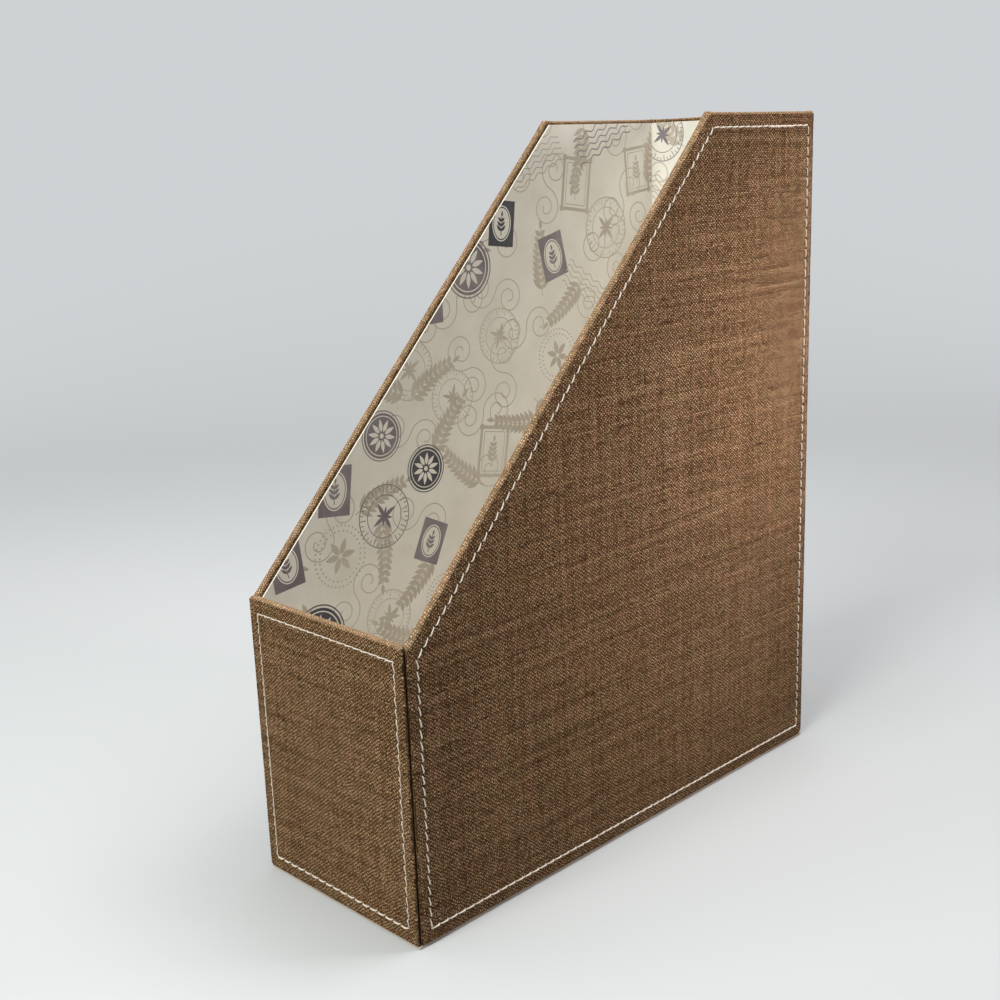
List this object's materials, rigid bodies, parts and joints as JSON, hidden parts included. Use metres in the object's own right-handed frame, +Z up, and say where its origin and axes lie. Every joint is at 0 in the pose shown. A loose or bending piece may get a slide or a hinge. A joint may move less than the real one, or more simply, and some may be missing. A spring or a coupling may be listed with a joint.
{
  "type": "file holder",
  "caption": "Cloth-covered upright holder for loose papers and folders, with a low front, sloping side walls, topstitched edges and a printed lining.",
  "frame": {"origin": "middle of the underside, on the surface it stands on", "axes": "+X across the width, -Y towards the low front wall, +Z up"},
  "size_m": [0.095, 0.2566, 0.3],
  "materials": {
    "bookcloth": "woven linen-look bookcloth with slubs, matt brown",
    "thread": "twisted cream sewing thread, low sheen",
    "grey_board": "grey paper board, uncoated",
    "white_card": "white card with a cut edge, uncoated",
    "printed_paper": "uncoated paper with a pattern in grey and faded red",
    "base_paper": "the same printed paper on thin card"
  },
  "bodies": {
    "root": {"board_front": "grey_board", "cover_front": "bookcloth", "stitching_front": "thread", "lining_card_front": "white_card", "lining_print_front": "printed_paper", "board_back": "grey_board", "cover_back": "bookcloth", "stitching_back": "thread", "lining_card_back": "white_card", "lining_print_back": "printed_paper", "board_left": "grey_board", "cover_left": "bookcloth", "stitching_left": "thread", "lining_card_left": "white_card", "lining_print_left": "printed_paper", "board_right": "grey_board", "cover_right": "bookcloth", "stitching_right": "thread", "lining_card_right": "white_card", "lining_print_right": "printed_paper", "board_base": "grey_board", "lining_card_base": "white_card", "lining_print_base": "printed_paper", "base_sheet": "base_paper"}
  },
  "joints": []
}
